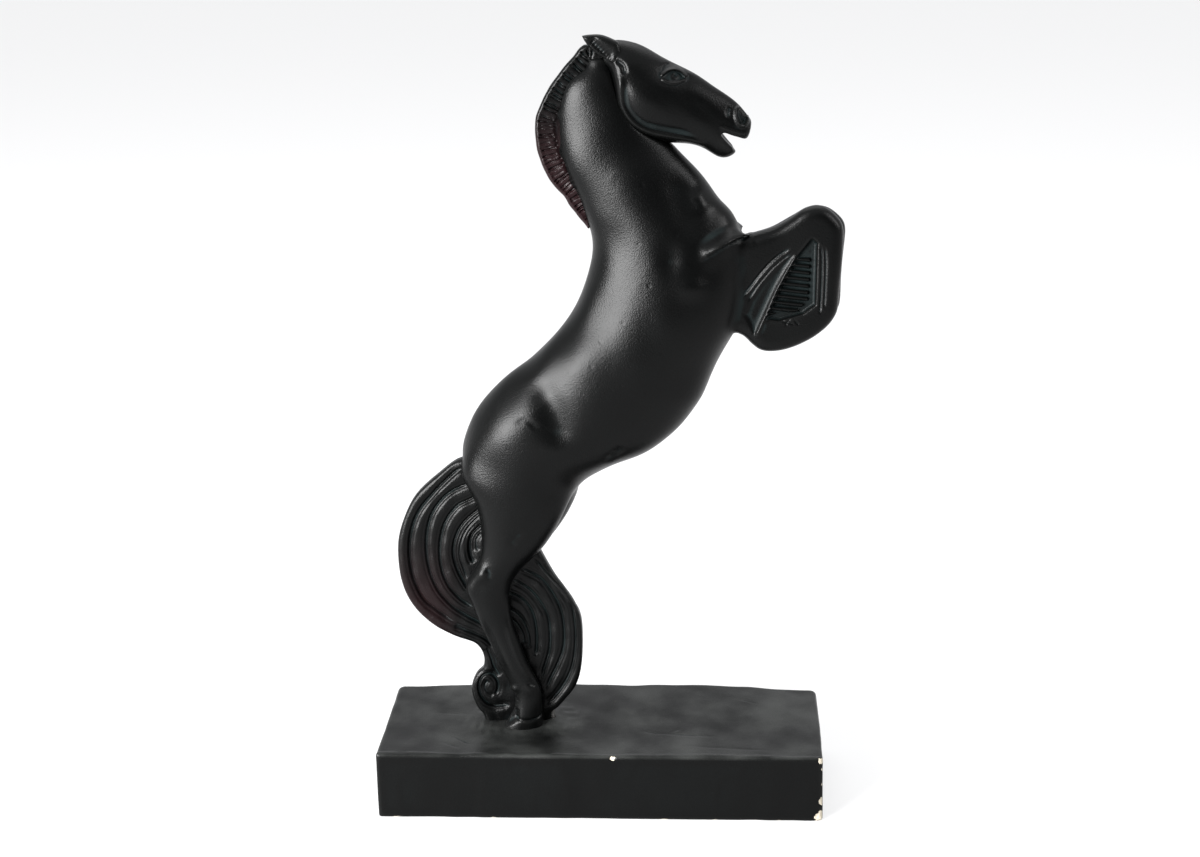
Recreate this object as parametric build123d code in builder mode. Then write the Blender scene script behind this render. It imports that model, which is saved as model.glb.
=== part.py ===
from build123d import *

import os
from math import hypot

os.makedirs("parts", exist_ok=True)

# A rearing horse on a plinth, in millimetres. The origin is the centre of the plinth's underside,
# +X is the way the horse faces, +Z is up, and the horse's right side is at -Y.

# Driving dimensions
PLINTH_LENGTH = 232.0
PLINTH_DEPTH = 86.0
PLINTH_HEIGHT = 35.5
PLINTH_EDGE = 1.6
MOUND_X = -40.0
HOOF_SEAT_Z = 34.5
TAIL_SEAT_Z = 33.5

SPINE_DIAMETER = 6.0
LEG_ROD_DIAMETER = 4.0
LEG_ROD_Y = 9.0
ROD_BEND = 14.0
DOWEL_DIAMETER = 4.0
PIN_DIAMETER = 3.0
MANE_PIN_DIAMETER = 2.0
EAR_PIN_DIAMETER = 1.5
TIE_PLATE = (26.0, 10.0, 2.0)

POCKET_DIAMETER = 14.0
POCKET_DEPTH = 12.0
PLUG_HEIGHT = 5.0
WASHER_DIAMETER = 12.0
WASHER_HEIGHT = 1.0
NUT_ACROSS_FLATS = 7.0
NUT_HEIGHT = 3.2
ROD_FOOT_Z = 6.5

TAIL_THICKNESS = 9.0
MANE_THICKNESS = 7.0
FORELEG_THICKNESS = 12.0
FORELEG_ROUND = 3.5
RECESS_DEPTH = 3.0
LEFT_LEG_ADVANCE = 3.5

# Ribs of a casting: back x, back z, front x, front z, half width, distance of its centre from the
# middle plane. Each is an ellipse that stands on the line from its back point to its front point.
CROUP_RIBS = (
    (-67.4, 198.3, -2.7, 178.2, 27.2, 0.0),
    (-70.0, 186.0, -11.5, 170.6, 26.0, 0.0),
)
SEAM_RIB = CROUP_RIBS[-1]
BODY_RIBS = (
    (-2.5, 389.0, 9.5, 386.0, 5.0, 0.0),
    (-12.5, 378.0, 22.0, 369.5, 9.5, 0.0),
    (-17.3, 364.0, 32.0, 355.0, 12.0, 0.0),
    (-17.8, 350.0, 41.0, 343.5, 14.0, 0.0),
    (-15.5, 336.5, 51.5, 331.0, 16.5, 0.0),
    (-9.5, 322.5, 62.0, 317.0, 19.0, 0.0),
    (-3.8, 308.0, 72.5, 303.5, 22.0, 0.0),
    (-1.2, 292.0, 77.0, 287.0, 25.0, 0.0),
    (-4.0, 278.0, 76.0, 270.0, 27.0, 0.0),
    (-9.5, 263.6, 70.8, 253.0, 28.3, 0.0),
    (-18.8, 251.4, 62.0, 239.6, 29.0, 0.0),
    (-30.8, 239.8, 54.6, 224.0, 29.0, 0.0),
    (-43.3, 230.2, 45.6, 207.3, 28.5, 0.0),
    (-53.7, 220.8, 31.2, 193.5, 28.0, 0.0),
    (-61.6, 210.6, 13.3, 185.1, 27.8, 0.0),
)
BELOW_SEAM_RIB = (-68.6, 173.5, -15.5, 163.0, 24.8, 0.0)
THIGH_RIBS = (
    (-68.4, 173.0, -15.4, 163.0, 15.8, 9.6),
    (-62.4, 159.5, -23.0, 149.5, 13.8, 9.8),
)
SHANK_RIBS = (
    (-60.4, 144.8, -32.0, 136.3, 10.8, 9.8),
    (-62.6, 131.0, -41.0, 126.0, 8.2, 9.6),
    (-68.9, 117.0, -47.0, 113.5, 6.6, 9.4),
    (-66.6, 105.5, -46.6, 104.5, 6.1, 9.2),
    (-62.4, 94.0, -44.4, 93.5, 5.8, 9.1),
    (-57.4, 82.0, -41.0, 82.0, 5.6, 9.0),
    (-51.0, 67.5, -35.2, 67.5, 5.5, 8.9),
    (-47.0, 58.5, -31.8, 59.5, 5.5, 8.8),
    (-46.0, 50.0, -31.2, 50.0, 5.7, 8.7),
    (-49.4, 42.5, -31.8, 42.5, 5.8, 8.6),
    (-52.8, HOOF_SEAT_Z, -31.2, HOOF_SEAT_Z, 6.0, 8.5),
)
HEAD_RIBS = (
    (8.0, 382.0, 3.5, 393.5, 5.0, 0.0),
    (11.3, 371.0, 12.0, 396.8, 10.5, 0.0),
    (15.5, 357.0, 21.0, 395.0, 13.2, 0.0),
    (25.5, 348.7, 32.0, 389.5, 13.6, 0.0),
    (37.0, 346.6, 41.0, 384.6, 12.6, 0.0),
    (47.5, 345.8, 50.5, 379.8, 10.8, 0.0),
    (56.0, 342.5, 59.0, 374.0, 9.2, 0.0),
    (62.8, 339.0, 66.5, 369.0, 8.0, 0.0),
    (69.3, 341.0, 72.5, 363.8, 7.0, 0.0),
    (74.8, 348.6, 76.4, 357.0, 4.6, 0.0),
)
EAR_RIBS = (
    (12.5, 386.0, 13.0, 396.5, 3.6, 5.4),
    (7.5, 387.5, 9.5, 398.4, 4.0, 6.2),
    (1.5, 391.0, 4.5, 399.9, 3.4, 7.0),
    (-2.8, 396.8, -1.2, 399.8, 1.3, 7.4),
)

# Outlines in the middle plane, x and z
TAIL_REAR_EDGE = (
    (-71.0, 186.26),
    (-85.5, 172.8),
    (-98.5, 158.8),
    (-105.2, 141.5),
    (-104.8, 118.0),
    (-93.0, 97.0),
    (-74.0, 85.6),
    (-63.8, 78.0),
    (-61.2, 66.0),
)
TAIL_FRONT_EDGE = (
    (-20.5, TAIL_SEAT_Z),
    (-12.8, 62.5),
    (-10.8, 86.0),
    (-14.4, 103.0),
    (-24.8, 120.0),
    (-36.5, 142.0),
)
TAIL_ROOT_X = -58.0
CURL_CENTRE = (-58.9, 54.0)
CURL_RADIUS = 11.2
TAIL_PIN_X = (-58.9, -27.0)
MANE_CREST = (
    (-4.5, 307.0),
    (-14.5, 320.0),
    (-24.0, 334.5),
    (-27.7, 352.0),
    (-23.0, 369.5),
    (-10.7, 386.5),
    (-4.0, 391.0),
)
MANE_ROOT = (
    (0.0, 384.0),
    (-9.5, 370.0),
    (-13.8, 350.0),
    (-9.5, 331.0),
    (-2.0, 312.0),
)
FORELEG_EDGE = (
    (62.0, 291.0),
    (77.0, 299.6),
    (91.0, 304.3),
    (103.5, 312.0),
    (112.0, 315.2),
    (120.5, 311.2),
    (124.0, 302.0),
    (123.0, 284.0),
    (122.2, 264.5),
    (114.0, 251.8),
    (98.0, 244.2),
    (84.0, 243.6),
    (75.0, 250.6),
    (64.0, 256.0),
)
RECESS_EDGE = (
    (108.5, 294.5),
    (96.0, 280.0),
    (87.0, 258.5),
    (102.5, 259.5),
    (106.8, 275.0),
)
MOUTH_EDGE = (
    (60.6, 353.6),
    (68.5, 350.4),
    (80.0, 347.6),
    (80.0, 338.0),
    (69.8, 342.4),
    (63.5, 349.0),
)

# Rod routes, x and z. The last run of every leg rod lies beside the spine rod.
TIE_START = (-34.0, 178.0)
TIE_END = (8.0, 232.0)
SPINE_ROUTE = ((-30.3, 182.75), TIE_END, (37.0, 284.0), (27.0, 325.0), (14.0, 350.0), (26.0, 373.0))
LEG_ROD_TOP = (1.0, 223.0)
FOOT_X = -40.0
LEG_BEND_Z = 56.0
LEG_ROUTE = ((-57.2, 108.0), (-47.0, 138.0))
TIE_STATIONS = ((-20.0, 196.0), (-5.2, 215.03))


def rib_plane(back_x, back_z, front_x, front_z, centre_y):
    """Plane of a rib, with local X from its back point to its front point and local Y along +Y."""
    run = front_x - back_x
    rise = front_z - back_z
    middle = ((back_x + front_x) / 2, centre_y, (back_z + front_z) / 2)
    return Plane(origin=middle, x_dir=(run, 0, rise), z_dir=(-rise, 0, run))


def rib_radii(rib):
    """Half the rib's depth and its half width."""
    return hypot(rib[2] - rib[0], rib[3] - rib[1]) / 2, rib[4]


def moved(rib, side, advance):
    """The rib's plane on one side of the horse, moved forward by advance."""
    return rib_plane(rib[0] + advance, rib[1], rib[2] + advance, rib[3], side * rib[5])


def keep(piece, label):
    """Names a finished piece and writes it to its own file."""
    piece.part.label = label
    export_step(piece.part, f"parts/{label}.step")


def rod(route, diameter, y):
    """A round rod along straight runs joined by tangent bends."""
    points = [(x, y, z) for x, z in route]
    with BuildPart() as bar:
        with BuildLine() as path:
            FilletPolyline(*points, radius=ROD_BEND)
        first = path.line @ 0
        with BuildSketch(Plane(origin=first, z_dir=path.line % 0)):
            Circle(diameter / 2)
        sweep(path=path.line)
    return bar


def dowel(start, end, diameter):
    """A straight round dowel between two points."""
    axis = Vector(*end) - Vector(*start)
    with BuildPart() as bar:
        with BuildSketch(Plane(origin=start, z_dir=axis)):
            Circle(diameter / 2)
        extrude(amount=axis.length)
    return bar


# Armature: one rod up the trunk and neck into the head, and one up each hind leg
spine_rod = rod(SPINE_ROUTE, SPINE_DIAMETER, 0.0)
keep(spine_rod, "spine_rod")

leg_rods = {}
for side, advance, label in ((-1, 0.0, "right_hind_leg_rod"), (1, LEFT_LEG_ADVANCE, "left_hind_leg_rod")):
    foot = FOOT_X + advance
    bends = tuple((x + advance, z) for x, z in LEG_ROUTE)
    route = ((foot, ROD_FOOT_Z), (foot, LEG_BEND_Z)) + bends + (TIE_START, LEG_ROD_TOP)
    leg_rods[side] = rod(route, LEG_ROD_DIAMETER, side * LEG_ROD_Y)
    keep(leg_rods[side], label)

rods = (spine_rod, leg_rods[-1], leg_rods[1])

tie_axis = (TIE_END[0] - TIE_START[0], 0, TIE_END[1] - TIE_START[1])
with BuildPart() as tie_plates:
    for x, z in TIE_STATIONS:
        with BuildSketch(Plane(origin=(x, 0, z), x_dir=(0, 1, 0), z_dir=tie_axis)):
            RectangleRounded(TIE_PLATE[0], TIE_PLATE[1], 2.0)
        extrude(amount=TIE_PLATE[2])
    for bar in rods:
        add(bar.part, mode=Mode.SUBTRACT)
keep(tie_plates, "armature_tie_plates")

# Dowels and pins between the castings
foreleg_dowels = {}
for side, label in ((-1, "right_foreleg_dowel"), (1, "left_foreleg_dowel")):
    foreleg_dowels[side] = dowel((50.0, side * 6.0, 266.0), (93.0, side * 6.0, 289.0), DOWEL_DIAMETER)
    keep(foreleg_dowels[side], label)

tail_root_dowel = dowel((-58.0, 0, 200.0), (-68.5, 0, 158.0), PIN_DIAMETER)
keep(tail_root_dowel, "tail_root_dowel")

with BuildPart() as tail_foot_pins:
    for x in TAIL_PIN_X:
        with BuildSketch(Plane((x, 0, 24.0))):
            Circle(PIN_DIAMETER / 2)
        extrude(amount=30.0)
keep(tail_foot_pins, "tail_foot_pins")

with BuildPart() as mane_pins:
    for x, z in ((-18.0, 326.0), (-22.5, 342.0), (-22.5, 361.0)):
        with BuildSketch(Plane(origin=(x, 0, z), z_dir=(1, 0, 0))):
            Circle(MANE_PIN_DIAMETER / 2)
        extrude(amount=15.0)
keep(mane_pins, "mane_pins")

with BuildPart() as ear_pin_pair:
    for side in (-1, 1):
        with BuildSketch(Plane(origin=(5.0, side * 6.4, 393.8), z_dir=(9.0, -side * 1.5, -7.0))):
            Circle(EAR_PIN_DIAMETER / 2)
        extrude(amount=14.0)
keep(ear_pin_pair, "ear_pins")

# Tail: an upright plate between the hind legs, with a curl at its tip
seam_slope = (SEAM_RIB[3] - SEAM_RIB[1]) / (SEAM_RIB[2] - SEAM_RIB[0])
root_z = SEAM_RIB[1] + (TAIL_ROOT_X - SEAM_RIB[0]) * seam_slope
with BuildPart() as tail:
    with BuildSketch(Plane.XZ.offset(-TAIL_THICKNESS / 2)):
        with BuildLine():
            Spline(*TAIL_REAR_EDGE)
            Polyline(TAIL_REAR_EDGE[-1], (CURL_CENTRE[0], TAIL_SEAT_Z), TAIL_FRONT_EDGE[0])
            Spline(*TAIL_FRONT_EDGE)
            Polyline(TAIL_FRONT_EDGE[-1], (-55.0, 166.0), (TAIL_ROOT_X, root_z), TAIL_REAR_EDGE[0])
        make_face()
        with Locations(CURL_CENTRE):
            Circle(CURL_RADIUS)
    extrude(amount=TAIL_THICKNESS)
    for piece in (tail_root_dowel, tail_foot_pins):
        add(piece.part, mode=Mode.SUBTRACT)
keep(tail, "tail")

# Hind legs: each is one half of the haunch at the top and stands on the plinth in its own hoof
seam_plane = moved(SEAM_RIB, 1, 0.0)
leg_blanks = {}
for side, advance, half in ((-1, 0.0, Keep.TOP), (1, LEFT_LEG_ADVANCE, Keep.BOTTOM)):
    with BuildPart() as leg_blanks[side]:
        for rib in CROUP_RIBS:
            with BuildSketch(moved(rib, side, 0.0)):
                Ellipse(*rib_radii(rib))
        for rib in THIGH_RIBS + SHANK_RIBS:
            with BuildSketch(moved(rib, side, advance)):
                Ellipse(*rib_radii(rib))
        loft()
        split(bisect_by=Plane.XZ, keep=half)
        split(bisect_by=seam_plane, keep=Keep.BOTTOM)

for side, label in ((-1, "right_hind_leg"), (1, "left_hind_leg")):
    with BuildPart() as leg:
        add(leg_blanks[side].part)
        for piece in (tail, leg_rods[side], tail_root_dowel):
            add(piece.part, mode=Mode.SUBTRACT)
    keep(leg, label)

# Head, with an open mouth
with BuildPart() as head:
    for rib in HEAD_RIBS:
        with BuildSketch(moved(rib, 1, 0.0)):
            Ellipse(*rib_radii(rib))
    loft()
    with BuildSketch(Plane.XZ):
        with BuildLine():
            Polyline(*MOUTH_EDGE, close=True)
        make_face()
    extrude(amount=15.0, both=True, mode=Mode.SUBTRACT)
    for piece in (spine_rod, ear_pin_pair):
        add(piece.part, mode=Mode.SUBTRACT)
keep(head, "head")

ears = {}
for side, label in ((-1, "right_ear"), (1, "left_ear")):
    with BuildPart() as ear:
        for rib in EAR_RIBS:
            with BuildSketch(moved(rib, side, 0.0)):
                Ellipse(*rib_radii(rib))
        loft()
        add(head.part, mode=Mode.SUBTRACT)
        add(ear_pin_pair.part, mode=Mode.SUBTRACT)
    ears[side] = ear
    keep(ear, label)

# Mane: a standing crest, let into a groove along the back of the neck
with BuildPart() as mane:
    with BuildSketch(Plane.XZ.offset(-MANE_THICKNESS / 2)):
        with BuildLine():
            Spline(*MANE_CREST)
            Line(MANE_CREST[-1], MANE_ROOT[0])
            Spline(*MANE_ROOT)
            Line(MANE_ROOT[-1], MANE_CREST[0])
        make_face()
    extrude(amount=MANE_THICKNESS)
    for piece in (head, ears[-1], ears[1], mane_pins):
        add(piece.part, mode=Mode.SUBTRACT)
keep(mane, "mane")

# Trunk and neck in one casting
with BuildPart() as trunk_blank:
    for rib in BODY_RIBS + CROUP_RIBS + (BELOW_SEAM_RIB,):
        with BuildSketch(moved(rib, 1, 0.0)):
            Ellipse(*rib_radii(rib))
    loft()
    split(bisect_by=seam_plane, keep=Keep.TOP)

# Forelegs: folded, side by side, each with a shallow recess between forearm and cannon
forelegs = {}
for side, label in ((-1, "right_foreleg"), (1, "left_foreleg")):
    outer_face = Plane.XZ.offset(-side * FORELEG_THICKNESS)
    with BuildPart() as foreleg:
        with BuildSketch(outer_face):
            with BuildLine():
                Spline(*FORELEG_EDGE)
                Line(FORELEG_EDGE[-1], FORELEG_EDGE[0])
            make_face()
        extrude(amount=side * FORELEG_THICKNESS)
        fillet(foreleg.faces().sort_by(Axis.Y)[0 if side < 0 else -1].edges(), FORELEG_ROUND)
        with BuildSketch(outer_face):
            with BuildLine():
                Polyline(*RECESS_EDGE, close=True)
            make_face()
        extrude(amount=side * RECESS_DEPTH, mode=Mode.SUBTRACT)
        add(trunk_blank.part, mode=Mode.SUBTRACT)
        add(foreleg_dowels[side].part, mode=Mode.SUBTRACT)
    forelegs[side] = foreleg
    keep(foreleg, label)

with BuildPart() as trunk:
    add(trunk_blank.part)
    for piece in (head, mane, mane_pins, ears[-1], ears[1], ear_pin_pair, tie_plates, tail_root_dowel):
        add(piece.part, mode=Mode.SUBTRACT)
    for piece in rods + (foreleg_dowels[-1], foreleg_dowels[1]):
        add(piece.part, mode=Mode.SUBTRACT)
keep(trunk, "trunk")

# Fixings under the plinth, one set on each leg rod
feet = ((FOOT_X, -LEG_ROD_Y), (FOOT_X + LEFT_LEG_ADVANCE, LEG_ROD_Y))
washer_z = POCKET_DEPTH - WASHER_HEIGHT
nut_z = washer_z - NUT_HEIGHT

with BuildPart() as washers:
    with BuildSketch(Plane.XY.offset(washer_z)):
        with Locations(*feet):
            Circle(WASHER_DIAMETER / 2)
            Circle(LEG_ROD_DIAMETER / 2, mode=Mode.SUBTRACT)
    extrude(amount=WASHER_HEIGHT)
keep(washers, "washers")

with BuildPart() as nuts:
    with BuildSketch(Plane.XY.offset(nut_z)):
        with Locations(*feet):
            RegularPolygon(NUT_ACROSS_FLATS / 2, 6, major_radius=False)
            Circle(LEG_ROD_DIAMETER / 2, mode=Mode.SUBTRACT)
    extrude(amount=NUT_HEIGHT)
keep(nuts, "nuts")

with BuildPart() as pocket_plugs:
    with BuildSketch(Plane.XY):
        with Locations(*feet):
            Circle(POCKET_DIAMETER / 2)
    extrude(amount=PLUG_HEIGHT)
keep(pocket_plugs, "pocket_plugs")

# Plinth, with a low mound that holds the hooves and the foot of the tail
with BuildPart() as plinth:
    with BuildSketch(Plane.XY):
        Rectangle(PLINTH_LENGTH, PLINTH_DEPTH)
    extrude(amount=PLINTH_HEIGHT)
    fillet(plinth.edges().filter_by(Axis.Z) + plinth.faces().sort_by(Axis.Z)[-1].edges(), PLINTH_EDGE)
    for height, length, depth in ((0.0, 36.0, 21.0), (1.6, 28.0, 15.0), (2.8, 16.0, 9.0)):
        with BuildSketch(Plane((MOUND_X, 0, PLINTH_HEIGHT + height))):
            Ellipse(length, depth)
    loft()
    with BuildSketch(Plane.XY):
        with Locations(*feet):
            Circle(POCKET_DIAMETER / 2)
    extrude(amount=POCKET_DEPTH, mode=Mode.SUBTRACT)
    for piece in (leg_blanks[-1], leg_blanks[1], tail, tail_foot_pins, leg_rods[-1], leg_rods[1]):
        add(piece.part, mode=Mode.SUBTRACT)
keep(plinth, "plinth")
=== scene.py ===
import math

import bmesh
import bpy
import numpy as np
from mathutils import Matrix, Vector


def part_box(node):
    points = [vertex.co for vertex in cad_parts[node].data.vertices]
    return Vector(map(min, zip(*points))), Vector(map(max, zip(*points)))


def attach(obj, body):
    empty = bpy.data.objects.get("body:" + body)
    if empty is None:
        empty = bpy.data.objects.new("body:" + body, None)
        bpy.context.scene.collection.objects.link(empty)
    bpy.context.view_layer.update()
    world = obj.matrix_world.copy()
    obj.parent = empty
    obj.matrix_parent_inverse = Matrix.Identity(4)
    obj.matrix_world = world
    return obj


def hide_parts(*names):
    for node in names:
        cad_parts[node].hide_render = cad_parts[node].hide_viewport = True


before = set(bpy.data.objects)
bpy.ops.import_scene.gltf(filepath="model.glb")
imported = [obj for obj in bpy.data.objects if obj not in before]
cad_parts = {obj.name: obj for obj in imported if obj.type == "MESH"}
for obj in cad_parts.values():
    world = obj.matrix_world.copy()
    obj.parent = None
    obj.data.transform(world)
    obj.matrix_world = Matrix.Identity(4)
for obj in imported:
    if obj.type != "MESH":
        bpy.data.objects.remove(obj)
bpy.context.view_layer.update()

import openvdb as vdb
from mathutils import Matrix, Vector

# The castings are sculpted as distance fields that start from the CAD solids: negative inside, in
# millimetres of the row frame. Each finished field becomes one closed mesh that replaces its node.
MM = 0.001
COARSE = 1.0

RODS = ("spine_rod", "right_hind_leg_rod", "left_hind_leg_rod", "armature_tie_plates",
        "right_foreleg_dowel", "left_foreleg_dowel", "tail_root_dowel", "tail_foot_pins",
        "mane_pins", "ear_pins")


# ---------------------------------------------------------------- fields

class Grid:
    """Evenly spaced sample points in a box, in millimetres."""

    def __init__(self, low, high, step):
        self.low = np.array(low, float)
        self.step = step
        self.shape = tuple(int(math.ceil((h - l) / step)) + 1 for l, h in zip(low, high))
        axes = [(self.low[i] + step * np.arange(self.shape[i])).astype(np.float32) for i in range(3)]
        self.x = axes[0][:, None, None]
        self.y = axes[1][None, :, None]
        self.z = axes[2][None, None, :]


def node_mesh(names):
    """Vertices in millimetres and triangles of some CAD nodes together."""
    points = []
    triangles = []
    offset = 0
    for name in names:
        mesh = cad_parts[name].data
        mesh.calc_loop_triangles()
        corner = np.empty(len(mesh.vertices) * 3, np.float32)
        mesh.vertices.foreach_get("co", corner)
        index = np.empty(len(mesh.loop_triangles) * 3, np.int32)
        mesh.loop_triangles.foreach_get("vertices", index)
        points.append(corner.reshape(-1, 3) / MM)
        triangles.append(index.reshape(-1, 3) + offset)
        offset += len(mesh.vertices)
    return np.concatenate(points), np.concatenate(triangles)


def distance_field(points, triangles, grid, reach):
    """Signed distance from a closed mesh, exact within reach and cut off beyond it."""
    spacing = vdb.createLinearTransform(voxelSize=grid.step)
    moved = (points - grid.low).astype(np.float32)
    level = vdb.FloatGrid.createLevelSetFromPolygons(
        moved, triangles=triangles.astype(np.uint32), transform=spacing, halfWidth=reach / grid.step)
    field = np.empty(grid.shape, np.float32)
    level.copyToArray(field, ijk=(0, 0, 0))
    return field


def contour(field, grid, value=0.0):
    """Vertices and quads of the surface where the field has a value."""
    band = 3 * grid.step
    level = vdb.FloatGrid(band)
    level.copyFromArray(np.clip(field - value, -band, band), ijk=(0, 0, 0), tolerance=0.0)
    level.transform = vdb.createLinearTransform(voxelSize=grid.step)
    points, quads = level.convertToQuads(isovalue=0.0)
    return points + grid.low, quads.astype(np.int64)


def closed_union(names, grid, closing, reach):
    """One field for touching nodes, with the joints between them and hollows under closing filled."""
    points, triangles = node_mesh(names)
    field = distance_field(points, triangles, grid, reach + closing)
    points, quads = contour(field, grid, closing)
    triangles = np.concatenate([quads[:, [0, 1, 2]], quads[:, [0, 2, 3]]])
    return distance_field(points, triangles, grid, reach + closing) + closing


def resample(field, source, target):
    """The field on another grid, by linear interpolation along each axis."""
    for axis in range(3):
        at = (target.low[axis] - source.low[axis] + target.step * np.arange(target.shape[axis])) / source.step
        at = np.clip(at, 0, field.shape[axis] - 1.001)
        below = at.astype(int)
        shape = [1, 1, 1]
        shape[axis] = -1
        share = (at - below).astype(np.float32).reshape(shape)
        field = np.take(field, below, axis) * (1 - share) + np.take(field, below + 1, axis) * share
    return field


def blur(field, radius, step):
    """Gaussian smoothing with a radius in millimetres."""
    count = int(math.ceil(2.5 * radius / step))
    weights = np.exp(-0.5 * (np.arange(-count, count + 1) * step / radius) ** 2)
    weights = (weights / weights.sum()).astype(np.float32)
    for axis in range(field.ndim):
        padded = np.pad(field, [(count, count) if a == axis else (0, 0) for a in range(field.ndim)], "edge")
        size = field.shape[axis]
        total = np.zeros_like(field)
        for k, weight in enumerate(weights):
            total += weight * padded[tuple(slice(k, k + size) if a == axis else slice(None)
                                           for a in range(field.ndim))]
        field = total
    return field


def smooth_min(a, b, width):
    """Union of two fields with a fillet of about a width."""
    share = np.clip(0.5 + 0.5 * (b - a) / width, 0, 1)
    return b + (a - b) * share - width * share * (1 - share)


def smooth_max(a, b, width):
    """Intersection of two fields with a rounded edge of about a width."""
    return -smooth_min(-a, -b, width)


def sample(field, grid, points):
    """The field at any points, by linear interpolation."""
    at = (points - grid.low) / grid.step
    at = np.clip(at, 0, np.array(field.shape) - 1.001)
    below = at.astype(int)
    share = at - below
    value = np.zeros(len(points))
    for corner in range(8):
        bit = np.array([corner >> 2 & 1, corner >> 1 & 1, corner & 1])
        weight = np.prod(np.where(bit, share, 1 - share), axis=1)
        i, j, k = (below + bit).T
        value += weight * field[i, j, k]
    return value


def slope(field, grid, points):
    """Gradient of the field at any points."""
    parts = []
    for axis in range(3):
        shift = np.zeros(3)
        shift[axis] = grid.step
        parts.append((sample(field, grid, points + shift) - sample(field, grid, points - shift))
                     / (2 * grid.step))
    return np.stack(parts, axis=1)


# ---------------------------------------------------------------- side maps

def side_of(grid):
    """X and Z of the grid's points in side view, as arrays that broadcast together."""
    return grid.x[:, :, 0], grid.z[0]


def smooth_path(points, parts=8):
    """A Catmull-Rom curve through points of the side view."""
    p = np.array(points, float)
    p = np.vstack([2 * p[0] - p[1], p, 2 * p[-1] - p[-2]])
    t = np.linspace(0, 1, parts, endpoint=False)[:, None]
    spans = []
    for a, b, c, d in zip(p[:-3], p[1:-2], p[2:-1], p[3:]):
        spans.append(0.5 * (2 * b + (c - a) * t + (2 * a - 5 * b + 4 * c - d) * t ** 2
                            + (3 * b - a - 3 * c + d) * t ** 3))
    spans.append(p[-2:-1])
    return np.vstack(spans)


def along(path, x, z):
    """Distance to a path, the share of its length at the nearest point, and which side (+1 left)."""
    steps = np.hypot(*np.diff(path, axis=0).T)
    starts = np.concatenate([[0], np.cumsum(steps)])
    near = np.full(np.broadcast(x, z).shape, 1e9, np.float32)
    share = np.zeros_like(near)
    side = np.ones_like(near)
    for (ax, az), (bx, bz), length, start in zip(path[:-1], path[1:], steps, starts):
        ux, uz = (bx - ax) / length, (bz - az) / length
        t = np.clip((x - ax) * ux + (z - az) * uz, 0, length)
        away = np.hypot(x - ax - t * ux, z - az - t * uz)
        closer = away < near
        near = np.where(closer, away, near)
        share = np.where(closer, (start + t) / starts[-1], share)
        side = np.where(closer, np.sign(ux * (z - az) - uz * (x - ax)), side)
    return near, share, side


def inside(outline, x, z):
    """Signed distance to a closed outline in side view, negative inside."""
    near, _, _ = along(np.vstack([outline, outline[:1]]), x, z)
    crossings = np.zeros(near.shape, int)
    for (ax, az), (bx, bz) in zip(outline, np.roll(outline, -1, axis=0)):
        if az != bz:
            level = (z > min(az, bz)) & (z <= max(az, bz))
            crossings += level & (x < ax + (z - az) * (bx - ax) / (bz - az))
    return np.where(crossings % 2 == 1, -near, near)


def ramp(value, low, high):
    """Smooth step from 0 at low to 1 at high."""
    t = np.clip((value - low) / (high - low), 0, 1)
    return t * t * (3 - 2 * t)


def groove(path, x, z, width, depth, fade=0.12):
    """A rounded furrow along a path, shallower over its last stretch at each end."""
    near, share, _ = along(smooth_path(path), x, z)
    ends = ramp(share, 0, fade) * ramp(1 - share, 0, fade)
    return depth * np.exp(-(near / width) ** 2) * ends


def swell(centre, radii, angle, x, z):
    """A soft oval hump of height 1, its long axis turned by an angle in degrees."""
    c, s = math.cos(math.radians(angle)), math.sin(math.radians(angle))
    u = (x - centre[0]) * c + (z - centre[1]) * s
    v = (z - centre[1]) * c - (x - centre[0]) * s
    return np.exp(-(u / radii[0]) ** 2 - (v / radii[1]) ** 2)


def wander(x, y, z, size, seed):
    """Smooth unevenness of about one unit from a few crossed waves."""
    random = np.random.default_rng(seed)
    total = 0
    for _ in range(7):
        direction = random.normal(size=3)
        direction *= random.uniform(0.6, 1.6) / np.linalg.norm(direction) * 2 * math.pi / size
        total = total + np.sin(direction[0] * x + direction[1] * y + direction[2] * z
                               + random.uniform(0, 6.28))
    return (total / 2.6).astype(np.float32)


# ---------------------------------------------------------------- meshes

def largest_part(points, quads):
    """The surface without loose crumbs."""
    label = np.arange(len(points))
    while True:
        low = label[quads].min(axis=1)
        new = label.copy()
        np.minimum.at(new, quads.ravel(), np.repeat(low, 4))
        new = new[new]
        if (new == label).all():
            break
        label = new
    kept = np.bincount(label[quads[:, 0]], minlength=len(points)).argmax()
    faces = quads[label[quads[:, 0]] == kept]
    used = np.unique(faces)
    place = np.zeros(len(points), int)
    place[used] = np.arange(len(used))
    return points[used], place[faces]


def settle(points, quads, field, grid, rounds=2):
    """Evens the vertices out and puts them back on the surface."""
    for _ in range(rounds):
        centre = points[quads].mean(axis=1)
        total = np.zeros_like(points, dtype=float)
        count = np.bincount(quads.ravel(), minlength=len(points))
        for axis in range(3):
            total[:, axis] = np.bincount(quads.ravel(), np.repeat(centre[:, axis], 4), len(points))
        points = 0.4 * points + 0.6 * total / count[:, None]
        normal = slope(field, grid, points)
        size = (normal ** 2).sum(axis=1)
        step = sample(field, grid, points) / np.maximum(size, 0.2)
        limit = 0.6 * grid.step
        points = points - np.clip(step, -limit, limit)[:, None] * normal
    return points


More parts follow.
